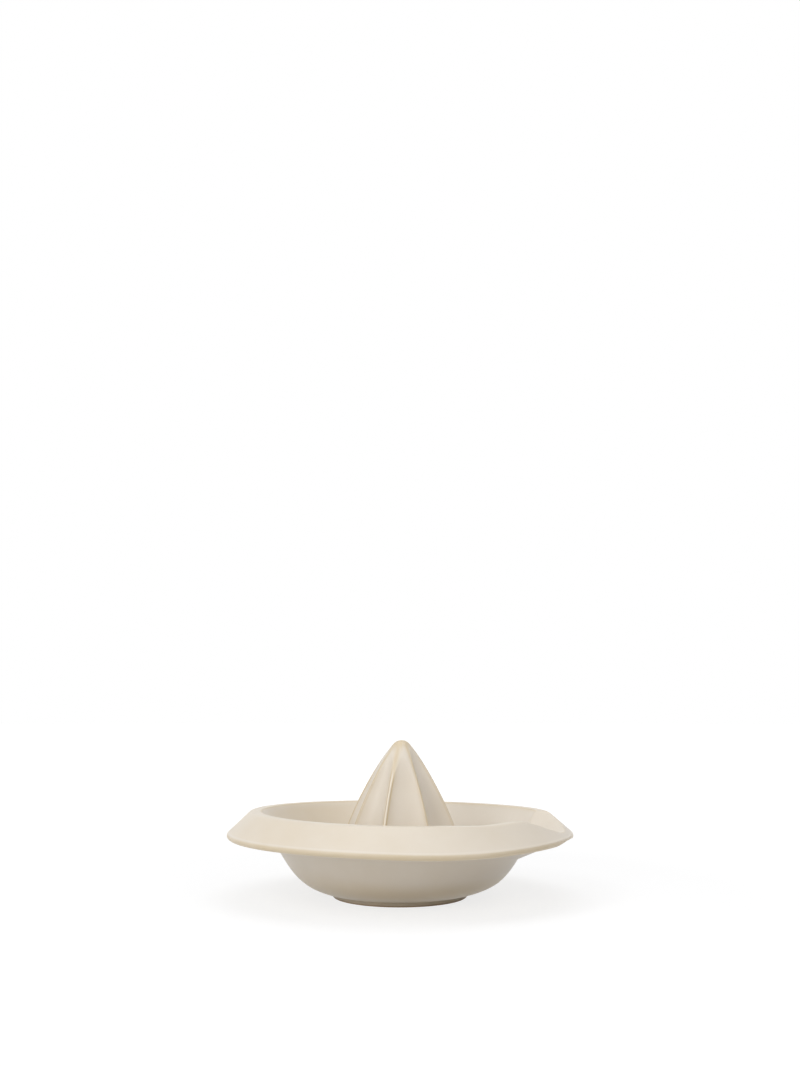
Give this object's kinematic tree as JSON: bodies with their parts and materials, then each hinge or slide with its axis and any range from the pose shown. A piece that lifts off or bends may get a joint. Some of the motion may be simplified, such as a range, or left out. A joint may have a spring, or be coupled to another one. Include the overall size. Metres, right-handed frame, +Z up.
{
  "type": "citrus juicer",
  "caption": "Glazed stoneware citrus juicer: a bowl on a foot ring with a folded brim, a pouring spout and a fluted cone.",
  "frame": {"origin": "on the axis of the bowl and cone, in the plane that the foot ring stands on", "axes": "+Z up along the cone, +X towards the pouring spout"},
  "size_m": [0.1478, 0.1478, 0.0653],
  "materials": {
    "glaze": "satin cream glaze on buff stoneware, tan where it thins on edges and ribs",
    "foot_glaze": "thin cream glaze on the side, bare buff stoneware underneath"
  },
  "bodies": {
    "root": {"foot_ring": "foot_glaze", "bowl": "glaze", "brim": "glaze", "spout": "glaze", "reamer_cone": "glaze"}
  },
  "joints": []
}
